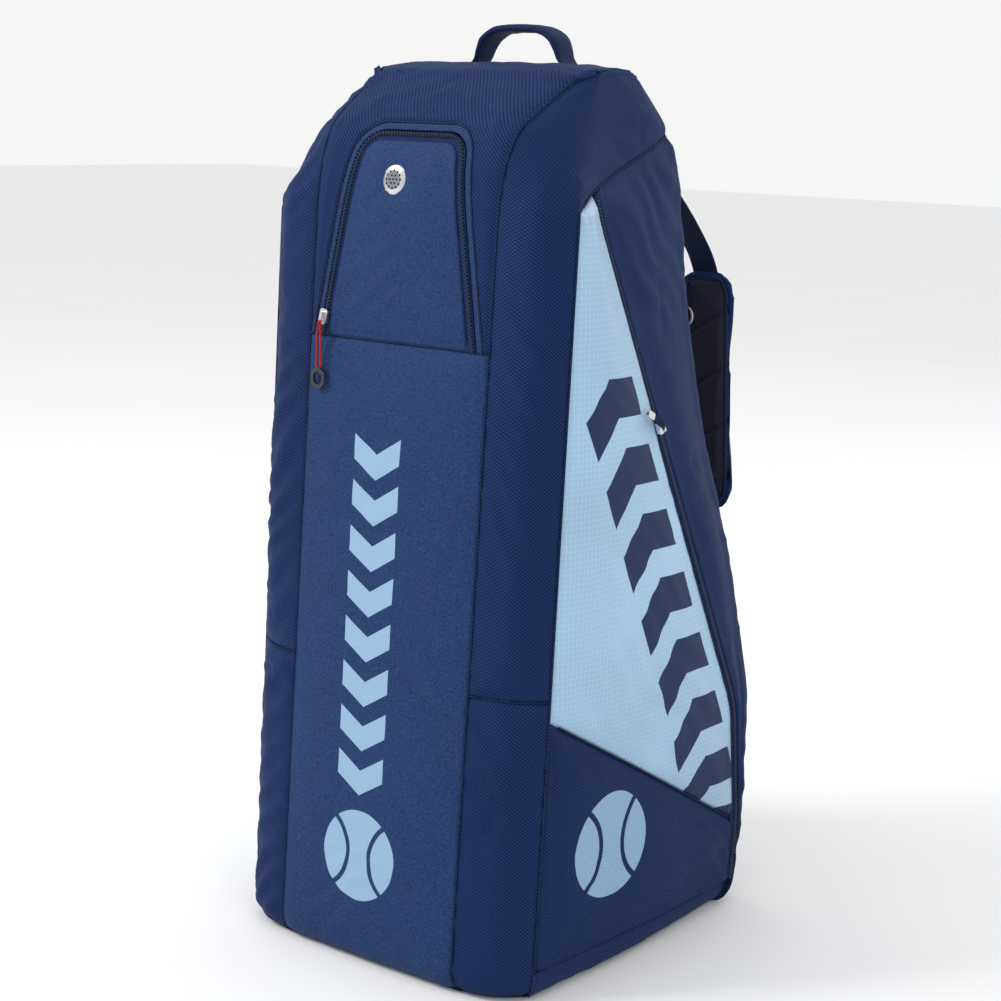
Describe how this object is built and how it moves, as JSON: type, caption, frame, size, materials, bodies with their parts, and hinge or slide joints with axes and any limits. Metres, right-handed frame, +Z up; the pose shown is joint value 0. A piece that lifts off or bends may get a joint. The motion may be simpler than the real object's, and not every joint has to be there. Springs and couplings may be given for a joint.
{
  "type": "racket tournament bag",
  "caption": "Tall soft bag for tennis rackets with zipped side doors, a zipped front pocket, a top handle and padded shoulder straps.",
  "frame": {"origin": "on the floor under the middle of the bag's box, straps included", "axes": "+Z up, -Y out of the long spine panel with the pocket, +Y out of the back with the straps, +X to the side with the right door"},
  "size_m": [0.3592, 0.3966, 0.795],
  "materials": {
    "spine_weave": "fine plain weave, soft sheen",
    "rib_weave": "diagonal ribbed weave, matte",
    "light_satin": "satin ripstop",
    "lining": "plain black lining",
    "strap_mesh": "black spacer mesh, quilted",
    "webbing": "woven webbing",
    "zip_tape": "woven zipper tape",
    "zip_coil": "moulded coil",
    "red_cord": "braided cord and woven tab",
    "dark_plastic": "moulded, fine grain",
    "chrome_trim": "bright plated",
    "silver_trim": "satin plated"
  },
  "bodies": {
    "bag": {"back_panel": "rib_weave", "base_tray": "rib_weave", "centre_divider": "lining", "crown_panel": "rib_weave", "front_yoke": "spine_weave", "handle_feet": "webbing", "left_bag_tape": "zip_tape", "left_gusset_lower": "rib_weave", "left_gusset_upper": "rib_weave", "left_rear_gusset": "rib_weave", "left_shoulder": "rib_weave", "left_strap_anchors": "webbing", "pocket_liner": "lining", "pocket_yoke_tape": "zip_tape", "right_bag_tape": "zip_tape", "right_gusset_lower": "rib_weave", "right_gusset_upper": "rib_weave", "right_rear_gusset": "rib_weave", "right_shoulder": "rib_weave", "right_strap_anchors": "webbing", "spine_panel": "spine_weave"},
    "left_door": {"left_door_coil": "zip_coil", "left_door_lower": "rib_weave", "left_door_tape": "zip_tape", "left_door_upper": "light_satin"},
    "left_pull": {"left_pull_ribbon": "webbing", "left_pull_tip": "chrome_trim"},
    "left_slider": {"left_slider": "chrome_trim"},
    "left_strap": {"left_strap_adjuster": "dark_plastic", "left_strap_foot_web": "webbing", "left_strap_lining": "strap_mesh", "left_strap_loop": "webbing", "left_strap_pad": "rib_weave", "left_strap_tab": "red_cord", "left_strap_top_web": "webbing"},
    "left_strap_ring": {"left_strap_ring": "silver_trim"},
    "pocket_flap": {"pocket_coil": "zip_coil", "pocket_flap": "spine_weave", "pocket_flap_tape": "zip_tape", "vent_eyelet": "silver_trim", "vent_washer": "silver_trim"},
    "pocket_pull": {"pocket_pull_cord": "red_cord", "pocket_pull_end": "dark_plastic"},
    "pocket_slider": {"pocket_slider": "chrome_trim"},
    "right_door": {"right_door_coil": "zip_coil", "right_door_lower": "rib_weave", "right_door_tape": "zip_tape", "right_door_upper": "light_satin"},
    "right_pull": {"right_pull_ribbon": "webbing", "right_pull_tip": "chrome_trim"},
    "right_slider": {"right_slider": "chrome_trim"},
    "right_strap": {"right_strap_adjuster": "dark_plastic", "right_strap_foot_web": "webbing", "right_strap_lining": "strap_mesh", "right_strap_loop": "webbing", "right_strap_pad": "rib_weave", "right_strap_tab": "red_cord", "right_strap_top_web": "webbing"},
    "right_strap_ring": {"right_strap_ring": "silver_trim"},
    "top_handle": {"top_handle": "webbing"}
  },
  "joints": [
    {"name": "right_door_hinge", "type": "hinge", "parent": "bag", "child": "right_door", "pos_m": [0.158, -0.1657, 0], "axis": [0, -0.042, -0.9991], "range_deg": [0, 75]},
    {"name": "right_slider_travel", "type": "slide", "parent": "right_door", "child": "right_slider", "axis": [-0.0708, -0.4072, 0.9106], "range_m": [-0.2756, 0.0703]},
    {"name": "right_pull_lift", "type": "hinge", "parent": "right_slider", "child": "right_pull", "pos_m": [0.1648, -0.01272, 0.4666], "axis": [-0.0728, 0.4706, 0.8794], "range_deg": [0, 130]},
    {"name": "right_strap_swing", "type": "hinge", "parent": "bag", "child": "right_strap", "pos_m": [0.1, 0.1623, 0.095], "axis": [-0.0495, -0.1816, 0.9821], "range_deg": [-18, 18], "stiffness_Nm_per_rad": 0.6},
    {"name": "right_ring_swing", "type": "hinge", "parent": "right_strap", "child": "right_strap_ring", "pos_m": [0.062, 0.1766, 0.5481], "axis": [1, 0, 0], "range_deg": [-80, 0]},
    {"name": "left_door_hinge", "type": "hinge", "parent": "bag", "child": "left_door", "pos_m": [-0.158, -0.1657, 0], "axis": [0, 0.042, 0.9991], "range_deg": [0, 75]},
    {"name": "left_slider_travel", "type": "slide", "parent": "left_door", "child": "left_slider", "axis": [0.0708, -0.4072, 0.9106], "range_m": [-0.2756, 0.0703]},
    {"name": "left_pull_lift", "type": "hinge", "parent": "left_slider", "child": "left_pull", "pos_m": [-0.1648, -0.01272, 0.4666], "axis": [-0.0728, -0.4706, -0.8794], "range_deg": [0, 130]},
    {"name": "left_strap_swing", "type": "hinge", "parent": "bag", "child": "left_strap", "pos_m": [-0.1, 0.1623, 0.095], "axis": [-0.0495, 0.1816, -0.9821], "range_deg": [-18, 18], "stiffness_Nm_per_rad": 0.6},
    {"name": "left_ring_swing", "type": "hinge", "parent": "left_strap", "child": "left_strap_ring", "pos_m": [-0.062, 0.1766, 0.5481], "axis": [1, 0, 0], "range_deg": [-80, 0]},
    {"name": "pocket_flap_fold", "type": "hinge", "parent": "bag", "child": "pocket_flap", "pos_m": [0, -0.16985, 0.533], "axis": [1, 0, 0], "range_deg": [0, 78]},
    {"name": "pocket_slider_travel", "type": "slide", "parent": "pocket_flap", "child": "pocket_slider", "axis": [0.1716, 0.0551, 0.9836], "range_m": [0, 0.12]},
    {"name": "pocket_pull_hang", "type": "hinge", "parent": "pocket_slider", "child": "pocket_pull", "pos_m": [-0.07711, -0.17436, 0.549], "axis": [1, 0, 0], "range_deg": [-82, 4]},
    {"name": "top_handle_lean", "type": "hinge", "parent": "bag", "child": "top_handle", "pos_m": [0, -0.0047, 0.7634], "axis": [1, 0, 0], "range_deg": [-32, 32], "stiffness_Nm_per_rad": 0.15}
  ],
  "couplings": [
    {"joint": "pocket_pull_hang", "follows": "pocket_flap_fold", "ratio": -1}
  ]
}
